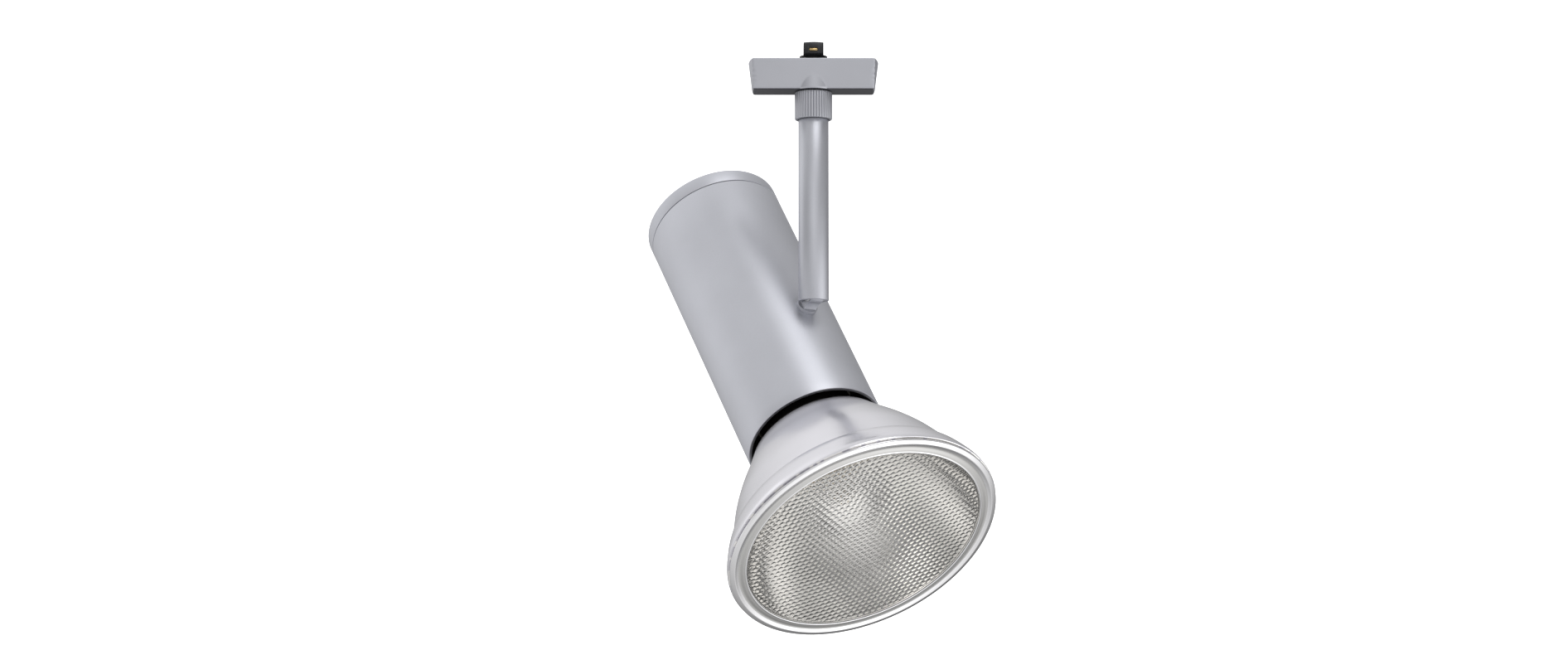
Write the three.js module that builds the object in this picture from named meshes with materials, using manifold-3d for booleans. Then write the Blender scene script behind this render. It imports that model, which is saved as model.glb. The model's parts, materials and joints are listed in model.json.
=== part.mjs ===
// Track spotlight: a rail adapter with a knurled lock ring, a straight stem, and a cylindrical head that
// tilts on a lug at the stem's lower end and holds a pressed-glass reflector lamp.
// Millimetres, +Z up. The origin is the middle of the adapter's top rim, which seats against the rail;
// the rail runs along X.
import * as THREE from 'three';
import { ConvexGeometry } from 'three/addons/geometries/ConvexGeometry.js';
import { mergeVertices } from 'three/addons/utils/BufferGeometryUtils.js';
import Module from 'manifold-3d';

const wasm = await Module();
wasm.setup();

// ---- how the lamp is aimed
const HEADING_DEG = -58;      // direction the head leans towards, in plan, from +X
const TILT_DEG = 39;          // lean of the lamp from straight down

// ---- adapter housing
const HOUSING_HEIGHT = 10.4;
const HOUSING_TOP = { mid: 22.85, face: 21.5, depth: 9.5 };      // half sizes at the rim
const HOUSING_BOTTOM = { mid: 21.55, face: 21.3, depth: 5.9 };   // half sizes at the underside
const HOUSING_WALL = 1.6;
const BOSS_R = 7.6;
const BOSS_HEIGHT = 5.1;

// ---- lock
const RING_R = 6.6;
const RING_TOP = -10.7;
const RING_BOTTOM = -20.3;
const KNURLS = 40;
const KNURL_DEPTH = 0.28;
const SHAFT_R = 4.6;
const SHAFT_BORE_R = 3.7;
const HEAD_BAR_LENGTH = 15.2;
const HEAD_BAR_WIDTH = 7;

// ---- stem
const STEM_R = 5.3;
const STEM_BORE_R = 4.2;
const STEM_TOP = -17.6;
const STEM_END = -84.5;
const PIVOT_Z = -82.2;
const NIPPLE_R = 2.75;

// ---- hinge
const SLOT_HALF = 2.95;
const LUG_HALF = 2.5;
const KNUCKLE_R = 3.2;
const WEB_HALF = 2.4;
const FOOT_R = 3.85;
const FOOT_GAP = 5;           // from the pivot to the face of the foot
const PIVOT_OFFSET = 30.78;   // from the head's axis to the pivot

// ---- head tube, along its own axis from the foot of the pivot
const TUBE_R = 24.66;
const TUBE_WALL = 1.2;
const TUBE_MOUTH = 40.26;
const TUBE_BACK = -65.6;
const CAP_R = 24.7;
const CAP_BACK = -71.41;
const CAP_FRONT = -65.85;

// ---- lamp
const RIM_R = 48.5;
const RIM_Z = 87.5;
const BASE_R = 13.1;
const BASE_Z = 1;

// ---------------------------------------------------------------- solids

// A closed solid from any three.js geometry.
function solid(geometry) {
  const clean = geometry.clone();
  clean.deleteAttribute('normal');
  clean.deleteAttribute('uv');
  const welded = mergeVertices(clean, 1e-4);
  const mesh = new wasm.Mesh({
    numProp: 3,
    vertProperties: new Float32Array(welded.attributes.position.array),
    triVerts: new Uint32Array(welded.index.array),
  });
  mesh.merge();
  return new wasm.Manifold(mesh);
}

function geometryOf(manifold) {
  const mesh = manifold.getMesh();
  const geometry = new THREE.BufferGeometry();
  geometry.setAttribute('position', new THREE.BufferAttribute(mesh.vertProperties, 3));
  geometry.setIndex(new THREE.BufferAttribute(mesh.triVerts, 1));
  return geometry;
}

function cut(geometry, ...tools) {
  let body = solid(geometry);
  for (const tool of tools) {
    body = body.subtract(solid(tool));
  }
  return geometryOf(body);
}

function join(geometry, ...others) {
  let body = solid(geometry);
  for (const other of others) {
    body = body.add(solid(other));
  }
  return geometryOf(body);
}

function common(geometry, other) {
  return geometryOf(solid(geometry).intersect(solid(other)));
}

// A solid of revolution about Z from [radius, z] points. The profile is closed on itself unless it
// starts and ends on the axis.
function revolve(profile, segments = 48) {
  const first = profile[0];
  const last = profile[profile.length - 1];
  const onAxis = first[0] === 0 && last[0] === 0;
  const closed = onAxis ? profile : [...profile, first];
  const points = closed.map(([r, z]) => new THREE.Vector2(r, z));
  let area = 0;
  for (let i = 0; i < points.length - 1; i += 1) {
    area += points[i].x * points[i + 1].y - points[i + 1].x * points[i].y;
  }
  if (area < 0) {
    points.reverse();
  }
  return new THREE.LatheGeometry(points, segments).rotateX(Math.PI / 2);
}

// A round bar or disc about Z.
function rod(radius, z0, z1, segments = 32) {
  return revolve([[0, z0], [radius, z0], [radius, z1], [0, z1]], segments);
}

// A ring about Z.
function ring(inner, outer, z0, z1, segments = 32) {
  return revolve([[inner, z0], [outer, z0], [outer, z1], [inner, z1]], segments);
}

// A box from its two corners.
function box(low, high) {
  const size = high.map((v, i) => v - low[i]);
  const middle = high.map((v, i) => (v + low[i]) / 2);
  return new THREE.BoxGeometry(...size).translate(...middle);
}

// A hexagonal prism about Z, sized across the flats.
function hexagon(flats, z0, z1) {
  const radius = flats / Math.sqrt(3);
  return new THREE.CylinderGeometry(radius, radius, z1 - z0, 6)
    .rotateX(Math.PI / 2)
    .translate(0, 0, (z0 + z1) / 2);
}

// A closed outline in XY, extruded from z0 to z1.
function prism(points, z0, z1, holes = []) {
  const shape = new THREE.Shape(points.map(([x, y]) => new THREE.Vector2(x, y)));
  for (const hole of holes) {
    shape.holes.push(new THREE.Path(hole.map(([x, y]) => new THREE.Vector2(x, y))));
  }
  return new THREE.ExtrudeGeometry(shape, { depth: z1 - z0, bevelEnabled: false }).translate(0, 0, z0);
}

// A round wire along a smooth path.
function wire(points, radius, steps = 14, sides = 6) {
  const path = new THREE.CatmullRomCurve3(points.map((p) => new THREE.Vector3(...p)));
  const outline = [];
  for (let i = 0; i < sides; i += 1) {
    const angle = (2 * Math.PI * i) / sides;
    outline.push(new THREE.Vector2(radius * Math.cos(angle), radius * Math.sin(angle)));
  }
  const shape = new THREE.Shape(outline);
  return new THREE.ExtrudeGeometry(shape, { extrudePath: path, steps, bevelEnabled: false });
}

// A bent strip: a centre line in the XZ plane, given thickness in that plane and width along Y.
function strip(line, thickness, width) {
  const left = [];
  const right = [];
  line.forEach((point, i) => {
    const before = line[Math.max(i - 1, 0)];
    const after = line[Math.min(i + 1, line.length - 1)];
    const a = new THREE.Vector2(point[0] - before[0], point[1] - before[1]);
    const b = new THREE.Vector2(after[0] - point[0], after[1] - point[1]);
    a.normalize();
    b.normalize();
    const along = a.clone().add(b).normalize();
    const lean = Math.max(Math.abs(along.dot(i === 0 ? b : a)), 0.3);
    const reach = thickness / 2 / lean;
    left.push([point[0] - along.y * reach, point[1] + along.x * reach]);
    right.push([point[0] + along.y * reach, point[1] - along.x * reach]);
  });
  return prism([...right, ...left.reverse()], -width / 2, width / 2)
    .rotateX(Math.PI / 2);
}

// ---------------------------------------------------------------- frames

const heading = THREE.MathUtils.degToRad(HEADING_DEG);
const tilt = THREE.MathUtils.degToRad(TILT_DEG);

// Stem frame: X towards the lean, Y along the pivot, Z up.
const stemFrame = new THREE.Matrix4().makeRotationZ(heading);

// Head frame: Z along the tube towards the lamp, X from the tube towards the pivot.
function makeHeadFrame() {
  const lean = new THREE.Vector3(Math.cos(heading), Math.sin(heading), 0);
  const up = new THREE.Vector3(0, 0, 1);
  const along = up.clone().multiplyScalar(-Math.cos(tilt)).addScaledVector(lean, Math.sin(tilt));
  const out = up.clone().multiplyScalar(Math.sin(tilt)).addScaledVector(lean, Math.cos(tilt));
  const side = along.clone().cross(out);
  const foot = new THREE.Vector3(0, 0, PIVOT_Z).addScaledVector(out, -PIVOT_OFFSET);
  return new THREE.Matrix4().makeBasis(out, side, along).setPosition(foot);
}
const headFrame = makeHeadFrame();

// ---------------------------------------------------------------- materials

function paint(color, roughness, metalness) {
  return { color, roughness, metalness };
}
const SILVER = paint(0xa4a5ad, 0.42, 0.55);
const SILVER_CAST = paint(0xa6a7af, 0.5, 0.45);
const BLACK_PLASTIC = paint(0x1b1b1d, 0.6, 0);
const GREY_PLASTIC = paint(0x77787c, 0.55, 0);
const STEEL = paint(0xb9bbbf, 0.35, 0.9);
const BRASS = paint(0xc8a35a, 0.35, 0.9);
const CERAMIC = paint(0xe6e1d6, 0.55, 0);
const MATT_BLACK = paint(0x101012, 0.85, 0);
const MIRROR_GLASS = paint(0xc9cace, 0.22, 0.8);
const CLEAR_GLASS = paint(0xcfcdc6, 0.15, 0.1);

const model = new THREE.Group();
model.name = 'track_spotlight';

function add(name, geometry, look, frame = null) {
  const placed = frame ? geometry.applyMatrix4(frame) : geometry;
  const mesh = new THREE.Mesh(placed, new THREE.MeshStandardMaterial(look));
  mesh.name = name;
  model.add(mesh);
}

// ---------------------------------------------------------------- adapter

// The housing's plan: straight long sides and slightly bowed ends.
function plan(size, inset, z) {
  const points = [];
  const depth = size.depth - inset;
  for (const end of [1, -1]) {
    for (let i = -4; i <= 4; i += 1) {
      const y = (depth * i) / 4;
      const bow = (size.mid - size.face) * (1 - (i / 4) ** 2);
      points.push(new THREE.Vector3(end * (size.face - inset + bow), y * end, z));
    }
  }
  return points;
}

// The plan at a height between the rim and the underside.
function planAt(z, inset) {
  const k = -z / HOUSING_HEIGHT;
  const size = {};
  for (const key of ['mid', 'face', 'depth']) {
    size[key] = HOUSING_TOP[key] + (HOUSING_BOTTOM[key] - HOUSING_TOP[key]) * k;
  }
  return plan(size, inset, z);
}

const POST_X = 17.2;

function housing() {
  const outer = new ConvexGeometry([
    ...planAt(0, 0.35),
    ...planAt(-0.5, 0),
    ...planAt(-9.8, 0),
    ...planAt(-HOUSING_HEIGHT, 0.6),
  ]);
  const boss = rod(BOSS_R, -HOUSING_HEIGHT, -HOUSING_HEIGHT + BOSS_HEIGHT, 48);
  const cavity = new ConvexGeometry([...planAt(0.4, HOUSING_WALL), ...planAt(-8.8, HOUSING_WALL)]);
  const pocket = rod(6.1, -8.8, 0.4, 40);
  const shell = cut(join(outer, boss), cavity, pocket, rod(4.9, -11, -8, 40));
  const posts = [POST_X, -POST_X].map((x) => rod(2.1, -9, -1.75, 20).translate(x, 0, 0));
  const pilots = [POST_X, -POST_X].map((x) => rod(0.9, -6.5, 0, 16).translate(x, 0, 0));
  return cut(join(shell, ...posts), ...pilots);
}

function lid() {
  const plate = new ConvexGeometry([
    ...planAt(-0.1, HOUSING_WALL + 0.06),
    ...planAt(-1.7, HOUSING_WALL + 0.06),
  ]);
  const holes = [POST_X, -POST_X].map((x) => rod(1.1, -2, 0, 16).translate(x, 0, 0));
  const sinks = [POST_X, -POST_X].map((x) => rod(2.0, -0.95, 0, 20).translate(x, 0, 0));
  return cut(plate, rod(5.4, -3, 1, 40), ...holes, ...sinks);
}

function lidScrew() {
  const body = revolve([[0, -6.2], [0.85, -6], [0.85, -0.9], [1.9, -0.9], [1.9, -0.3], [1.5, -0.15], [0, -0.15]], 16);
  return cut(body, box([-1.3, -0.2, -0.5], [1.3, 0.2, 0]));
}

function detentSpring() {
  const line = [[12.5, 3.2], [10.5, 3.4], [8.4, 2.6], [6.3, 0], [8.4, -2.6], [10.5, -3.4]];
  return strip(line, 0.4, 1.5).rotateX(-Math.PI / 2).translate(0, 0, -7.75);
}

add('adapter_housing', housing(), SILVER_CAST);
add('adapter_lid', lid(), GREY_PLASTIC);
add('lid_screw_right', lidScrew().translate(POST_X, 0, 0), STEEL);
add('lid_screw_left', lidScrew().translate(-POST_X, 0, 0), STEEL);
add('detent_spring', detentSpring(), STEEL);

// ---------------------------------------------------------------- lock

// Hollow shaft with a flange that runs on the housing's floor.
function lockRotor() {
  return revolve([
    [3.0, -16.6], [SHAFT_R, -16.6], [SHAFT_R, -8.5], [5.7, -8.5], [5.7, -7.0], [5.0, -7.0],
    [5.0, 1.2], [SHAFT_BORE_R, 1.2], [SHAFT_BORE_R, -14.6], [3.0, -14.6],
  ], 32);
}

function knurledRing() {
  const outline = [];
  const valley = RING_R - KNURL_DEPTH;
  for (let i = 0; i < KNURLS; i += 1) {
    const at = (2 * Math.PI * i) / KNURLS;
    const half = Math.PI / KNURLS;
    outline.push([valley * Math.cos(at), valley * Math.sin(at)]);
    outline.push([RING_R * Math.cos(at + half * 0.6), RING_R * Math.sin(at + half * 0.6)]);
    outline.push([RING_R * Math.cos(at + half * 1.4), RING_R * Math.sin(at + half * 1.4)]);
  }
  const bar = prism(outline, RING_BOTTOM, RING_TOP);
  const bevel = 0.3;
  const envelope = revolve([
    [0, RING_BOTTOM], [RING_R - bevel, RING_BOTTOM], [RING_R + 0.01, RING_BOTTOM + bevel],
    [RING_R + 0.01, RING_TOP - bevel], [RING_R - bevel, RING_TOP], [0, RING_TOP],
  ], KNURLS);
  const bore = rod(SHAFT_R + 0.05, RING_BOTTOM - 1, RING_TOP + 1, 40);
  const recess = rod(5.6, RING_BOTTOM - 1, -16.9, 40);
  return cut(common(bar, envelope), bore, recess);
}

// Blade pockets are cut a little larger than the blades.
const BLADE = { z0: 3.0, z1: 5.2, half: 1.6, inner: 4.4, outer: 7.85 };

function bladePocket(end) {
  const gap = 0.04;
  const y0 = BLADE.inner - gap;
  const pocket = box([-BLADE.half - gap, y0, BLADE.z0 - gap], [BLADE.half + gap, 9, BLADE.z0 + 0.7 + gap]);
  return end > 0 ? pocket : pocket.rotateZ(Math.PI);
}

function rotorHead() {
  const bar = common(
    box([-HEAD_BAR_WIDTH / 2, -9, 1.9], [HEAD_BAR_WIDTH / 2, 9, 6.2]),
    revolve([
      [0, 1.9], [HEAD_BAR_LENGTH / 2 - 0.4, 1.9], [HEAD_BAR_LENGTH / 2, 2.3],
      [HEAD_BAR_LENGTH / 2, 5.4], [HEAD_BAR_LENGTH / 2 - 0.8, 6.2], [0, 6.2],
    ], 48),
  );
  const neck = rod(4.9, 1.25, 2.2, 40);
  const well = rod(2.6, 1, 4.6, 24);
  const groove = box([-1.3, -3.2, 5.7], [1.3, 3.2, 7]);
  return cut(join(bar, neck), well, bladePocket(1), bladePocket(-1), groove);
}

function blade(end) {
  const plate = prism([
    [-BLADE.half, BLADE.inner], [BLADE.half, BLADE.inner], [BLADE.half, 7.3],
    [BLADE.half - 0.5, BLADE.outer], [-BLADE.half + 0.5, BLADE.outer], [-BLADE.half, 7.3],
  ], BLADE.z0, BLADE.z0 + 0.7);
  return end > 0 ? plate : plate.rotateZ(Math.PI);
}

function earthContact() {
  const line = [[-3.0, 5.95], [-2.2, 5.95], [-0.8, 6.55], [0.8, 6.55], [2.2, 5.95], [3.0, 5.95]];
  return strip(line, 0.4, 2.2).rotateZ(Math.PI / 2);
}

add('lock_rotor', lockRotor(), STEEL);
add('lock_ring', knurledRing(), SILVER_CAST);
add('rotor_head', rotorHead(), BLACK_PLASTIC);
add('contact_live', blade(1), BRASS);
add('contact_neutral', blade(-1), BRASS);
add('contact_earth', earthContact(), BRASS);

// ---------------------------------------------------------------- stem

const SLOT_TOP = -75.6;

function stemTube() {
  const wall = revolve([
    [STEM_BORE_R, STEM_END], [STEM_R - 0.15, STEM_END], [STEM_R, STEM_END + 0.15],
    [STEM_R, STEM_TOP - 0.3], [STEM_R - 0.3, STEM_TOP], [STEM_BORE_R, STEM_TOP],
  ], 56);
  const slot = box([-7, -SLOT_HALF, STEM_END - 1], [0, SLOT_HALF, SLOT_TOP]);
  const pinHole = rod(2.45, 0, 7, 24).rotateX(-Math.PI / 2).translate(0, 0, PIVOT_Z);
  return cut(wall, slot, pinHole);
}

// Solid end of the stem, slotted for the lug.
function hingeFork() {
  const plug = rod(STEM_BORE_R - 0.05, STEM_END + 0.1, -70, 32);
  const slot = box([-5, -SLOT_HALF, STEM_END - 1], [5, SLOT_HALF, SLOT_TOP]);
  const wireWay = rod(1.9, -80, -69, 20);
  const pinHole = rod(1.55, -3.95, 7, 20).rotateX(-Math.PI / 2).translate(0, 0, PIVOT_Z);
  const counterbore = rod(2.45, 3.75, 7, 24).rotateX(-Math.PI / 2).translate(0, 0, PIVOT_Z);
  const body = cut(plug, slot, wireWay, counterbore);
  return cut(body, pinHole);
}

function pivotPin() {
  const pin = revolve([[0, -3.85], [1.3, -3.85], [1.5, -3.6], [1.5, 3.8], [2.35, 3.8], [2.35, 4.5], [2.1, 4.7], [0, 4.7]], 24);
  const hex = hexagon(2, 3.9, 5);
  return cut(pin, hex).rotateX(-Math.PI / 2).translate(0, 0, PIVOT_Z);
}

function hingeWasher(side) {
  const near = LUG_HALF + 0.05;
  const washer = ring(1.6, 2.9, near, near + 0.35, 20).rotateX(-Math.PI / 2);
  if (side < 0) {
    washer.rotateZ(Math.PI);
  }
  return washer.translate(0, 0, PIVOT_Z);
}

add('stem_tube', stemTube(), SILVER, stemFrame);
add('stem_insert', ring(NIPPLE_R + 0.05, STEM_BORE_R - 0.05, -27.5, STEM_TOP - 0.05, 28), BRASS);
add('nipple', ring(1.8, NIPPLE_R, -27, -11.2, 20), STEEL);
add('nipple_nut', cut(hexagon(6.2, -13.9, -11.7), rod(NIPPLE_R + 0.04, -15, -11, 20)), STEEL);
add('swivel_washer', ring(2.85, 3.55, -14.5, -13.95, 20), STEEL);
add('thrust_washer', ring(2.85, 4.4, -17.5, -16.7, 24), BLACK_PLASTIC);
add('stem_cable', rod(1.6, -73, 0.6, 16), GREY_PLASTIC);
add('hinge_fork', hingeFork(), STEEL, stemFrame);
add('pivot_pin', pivotPin(), STEEL, stemFrame);
add('hinge_washer_near', hingeWasher(-1), STEEL, stemFrame);
add('hinge_washer_far', hingeWasher(1), STEEL, stemFrame);

// ---------------------------------------------------------------- head

const TUBE_BORE_R = TUBE_R - TUBE_WALL;
const STUD_R = 2.9;
const STRAP = { outer: 22.8, inner: 21.6, half: 5, front: 6.5, back: -16.4 };

// A bar about X in the head frame.
function crossRod(radius, x0, x1, segments = 32) {
  return rod(radius, x0, x1, segments).rotateY(Math.PI / 2);
}

function headTube() {
  const wall = revolve([
    [TUBE_BORE_R, TUBE_BACK], [TUBE_R - 0.2, TUBE_BACK], [TUBE_R, TUBE_BACK + 0.2],
    [TUBE_R, TUBE_MOUTH - 0.3], [TUBE_R - 0.3, TUBE_MOUTH], [TUBE_BORE_R + 0.15, TUBE_MOUTH],
    [TUBE_BORE_R, TUBE_MOUTH - 0.2],
  ], 56);
  return cut(wall, crossRod(STUD_R + 0.06, 20, 27, 24));
}

function rearCap() {
  return revolve([
    [0, CAP_BACK], [CAP_R - 0.8, CAP_BACK], [CAP_R - 0.24, CAP_BACK + 0.24], [CAP_R, CAP_BACK + 0.8],
    [CAP_R, CAP_FRONT - 0.2], [CAP_R - 0.2, CAP_FRONT], [TUBE_BORE_R - 0.06, CAP_FRONT],
    [TUBE_BORE_R - 0.06, -60.6], [TUBE_BORE_R - 0.4, -60.2], [22.2, -60.2],
    [22.2, CAP_BACK + 1.6], [0, CAP_BACK + 1.6],
  ], 56);
}

// Knuckle, foot and hollow stud in one piece.
function lug() {
  const knuckle = rod(KNUCKLE_R, -LUG_HALF, LUG_HALF, 28).rotateX(Math.PI / 2).translate(PIVOT_OFFSET, 0, 0);
  const web = box([25.4, -LUG_HALF, -WEB_HALF], [PIVOT_OFFSET, LUG_HALF, WEB_HALF]);
  const foot = cut(crossRod(FOOT_R, 23.6, PIVOT_OFFSET - FOOT_GAP, 40), rod(TUBE_R + 0.03, -20, 20, 56));
  const stud = crossRod(STUD_R, 19.1, 25.4, 24);
  const bore = crossRod(1.7, 19, 28, 20);
  const wireExit = box([26.4, -0.9, -5], [28, 0.9, 0]);
  const pinHole = rod(1.6, -4, 4, 24).rotateX(Math.PI / 2).translate(PIVOT_OFFSET, 0, 0);
  return cut(join(knuckle, web, foot, stud), bore, wireExit, pinHole);
}

function lugNut() {
  return cut(hexagon(8, 19.4, 21.1), rod(STUD_R + 0.03, 19, 22, 24)).rotateY(Math.PI / 2);
}

// Steel strap: one leg along the tube under the nut, one leg across it behind the lampholder.
function strapBracket() {
  const leg = box([STRAP.inner, -STRAP.half, STRAP.back], [STRAP.outer, STRAP.half, STRAP.front]);
  const cross = box([-12.5, -STRAP.half, STRAP.back], [STRAP.outer, STRAP.half, STRAP.back + 1.2]);
  const screws = [8.5, -8.5].map((x) => rod(1.7, -18, -14, 16).translate(x, 0, 0));
  const earthHole = crossRod(1.3, 20, 24, 16).translate(0, 0, -10.5);
  return cut(join(leg, cross), crossRod(STUD_R + 0.06, 20, 24, 24), ...screws, earthHole);
}

const HOLDER = { back: -15.15, floor: -4, front: 26, outer: 16.6, bore: 14.2 };

function lampholder() {
  const body = revolve([
    [0, HOLDER.back], [14.6, HOLDER.back], [15.6, HOLDER.back + 1], [HOLDER.outer, -9],
    [HOLDER.outer, 21], [17.9, 22.4], [17.9, HOLDER.front], [HOLDER.bore, HOLDER.front],
    [HOLDER.bore, HOLDER.floor], [0, HOLDER.floor],
  ], 36);
  const screws = [8.5, -8.5].map((x) => rod(1.5, -16, -8, 16).translate(x, 0, 0));
  const terminals = [9, -9].map((y) => box([-2.6, y - 2.6, -16], [2.6, y + 2.6, -9.5]));
  return cut(body, ...screws, ...terminals);
}

function holderScrew(x) {
  const screw = revolve([[0, -18.6], [2.4, -18.6], [2.9, -18.2], [2.9, -16.45], [1.45, -16.45], [1.45, -8.3], [0, -8.3]], 18);
  return cut(screw, box([-4, -0.35, -19], [4, 0.35, -18])).translate(x, 0, 0);
}

function terminalBlock(y) {
  return cut(box([-2.5, y - 2.5, -14.2], [2.5, y + 2.5, -9.6]), rod(1.3, -15, -11, 14).translate(0, y, 0));
}

function terminalScrew(y) {
  return revolve([[0, -11.4], [1.2, -11.4], [1.2, -14.25], [2.1, -14.25], [2.1, -15.4], [0, -15.4]], 16)
    .translate(0, y, 0);
}

function centreContact() {
  const line = [[-8.6, -3.7], [-3.4, -3.7], [-1.6, -1.95], [1.8, -1.95]];
  return strip(line, 0.4, 4);
}

function sideContact() {
  const band = ring(13.3, 14.1, -3.6, 0.6, 36);
  return common(band, box([-2, 12, -5], [2, 15, 2]));
}

// Black sleeve that lines the mouth and closes the space round the lampholder.
function mouthLiner() {
  return revolve([
    [18.5, 24], [TUBE_BORE_R - 0.05, 24], [TUBE_BORE_R - 0.05, 39.7], [TUBE_BORE_R - 0.55, 39.7],
    [TUBE_BORE_R - 0.55, 24.8], [18.5, 24.8],
  ], 48);
}

function earthRing() {
  const eye = ring(1.35, 2.5, 20.95, 21.5, 18).rotateY(Math.PI / 2).translate(0, 0, -10.5);
  return join(eye, box([20.95, -0.8, -8.4], [21.5, 0.8, -5.6]));
}

function earthScrew() {
  return revolve([[0, 19.4], [2.2, 19.4], [2.2, 20.9], [1.25, 20.9], [1.25, 22.7], [0, 22.7]], 18)
    .rotateY(Math.PI / 2)
    .translate(0, 0, -10.5);
}

function phaseWire(side) {
  return wire([
    [27, side * 0.75, 0.35], [23, side * 0.75, 0.35], [19.6, side * 0.85, 0.3], [18.1, side * 2.2, -1.6],
    [18.5, side * 5.6, -6], [18.4, side * 8.2, -12], [16.5, side * 9.5, -17.2], [11, side * 9.8, -18.6],
    [5.6, side * 9.4, -18.4], [2.2, side * 9, -16.4],
  ], 0.55, 22);
}

function earthWire() {
  return wire([[27, 0, -0.9], [23, 0, -0.9], [19.6, 0, -0.9], [18.4, 0, -1.7], [18.1, 0, -3.6], [18.9, 0, -5.6], [20.3, 0, -6.6]], 0.55, 12);
}

add('head_tube', headTube(), SILVER, headFrame);
add('rear_cap', rearCap(), SILVER, headFrame);
add('lug', lug(), SILVER_CAST, headFrame);
add('lug_washer', ring(3.0, 5.0, 21.15, 21.55, 24).rotateY(Math.PI / 2), STEEL, headFrame);
add('lug_nut', lugNut(), STEEL, headFrame);
add('strap_bracket', strapBracket(), STEEL, headFrame);
add('lampholder', lampholder(), CERAMIC, headFrame);
add('holder_screw_upper', holderScrew(8.5), STEEL, headFrame);
add('holder_screw_lower', holderScrew(-8.5), STEEL, headFrame);
add('terminal_live', terminalBlock(9), BRASS, headFrame);
add('terminal_neutral', terminalBlock(-9), BRASS, headFrame);
add('terminal_screw_live', terminalScrew(9), BRASS, headFrame);
add('terminal_screw_neutral', terminalScrew(-9), BRASS, headFrame);
add('thread_shell', ring(13.55, 13.95, 1, 22, 36), BRASS, headFrame);
add('centre_contact', centreContact(), BRASS, headFrame);
add('side_contact', sideContact(), BRASS, headFrame);
add('mouth_liner', mouthLiner(), MATT_BLACK, headFrame);
add('earth_ring', earthRing(), STEEL, headFrame);
add('earth_screw', earthScrew(), BRASS, headFrame);
add('wire_live', phaseWire(1), paint(0x6b4a2f, 0.6, 0), headFrame);
add('wire_neutral', phaseWire(-1), paint(0x3f6fa8, 0.6, 0), headFrame);
add('wire_earth', earthWire(), paint(0x6f9a3a, 0.6, 0), headFrame);

// ---------------------------------------------------------------- lamp

// Outside of the pressed-glass bowl, from the neck to the rim.
const BOWL_OUTSIDE = [
  [16.6, 27.5], [17.6, 34.5], [19.4, 39.2], [22.4, 42.5], [24.5, 43.9],
  [28.3, 50.0], [33.5, 57.4], [38.0, 65.0], [41.6, 72.8], [43.7, 77.6], [44.5, 78.0],
  [47.1, 83.2], [RIM_R, 86.7], [RIM_R, 87.2],
];
const BOWL_INSIDE = [
  [46.2, 87.2], [40.6, 74.6], [34.8, 63.8], [26.6, 51.4], [20.2, 43.6], [16.0, 38.6], [14.5, 31.5],
  [10.5, 28.5], [10.5, 21],
];

function bowl() {
  return revolve([[12.5, 21], [12.5, 27.5], ...BOWL_OUTSIDE, ...BOWL_INSIDE], 56);
}

function frontLens() {
  return revolve([
    [0, 90.1], [22, 89.7], [43.4, 88.7], [44.0, 88.35], [45.0, 88.35],
    [45.8, 88.8], [47.4, 88.6], [48.1, 88.1], [48.1, 87.75], [43.8, 87.75], [43.2, 86.4],
    [0, 87.6],
  ], 56);
}

function screwBase() {
  return revolve([
    [BASE_R - 2, BASE_Z], [BASE_R - 0.4, BASE_Z], [BASE_R, BASE_Z + 0.6], [BASE_R, 24.6],
    [13.9, 25.6], [13.9, 27.3], [12.6, 27.3], [12.6, BASE_Z + 0.5], [BASE_R - 2, BASE_Z + 0.5],
  ], 36);
}

function baseInsulator() {
  return revolve([[0, -0.4], [4.9, -0.4], [BASE_R - 2.1, 0.95], [BASE_R - 2.1, 2.4], [0, 2.4]], 28);
}

function capsule() {
  return revolve([
    [0, 34], [3.6, 34], [3.6, 39], [5.6, 41], [5.9, 42.5], [5.9, 57], [5.2, 59.6], [3.2, 61.4], [0, 62],
  ], 24);
}

function leadWire(side) {
  return wire([[side * 6, 0, 3], [side * 6, 0, 12], [side * 5, 0, 24], [side * 2.2, 0, 30], [side * 2, 0, 33.6]], 0.5, 8);
}

add('reflector_bowl', bowl(), MIRROR_GLASS, headFrame);
add('rim_seal', ring(46.3, 47.7, 87.25, 87.7, 56), MATT_BLACK, headFrame);
add('front_lens', frontLens(), CLEAR_GLASS, headFrame);
add('screw_base', screwBase(), BRASS, headFrame);
add('base_insulator', baseInsulator(), BLACK_PLASTIC, headFrame);
add('base_button', revolve([[0, -1.5], [3.4, -1.5], [4.4, -0.9], [4.4, -0.45], [0, -0.45]], 24), BRASS, headFrame);
add('capsule', capsule(), CLEAR_GLASS, headFrame);
add('lead_left', leadWire(1), STEEL, headFrame);
add('lead_right', leadWire(-1), STEEL, headFrame);

export default model;
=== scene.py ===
# Looks for a track spotlight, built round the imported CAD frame. Lengths are in metres.
import json
import math

import bmesh
import bpy
from mathutils import Matrix, Vector


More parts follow.
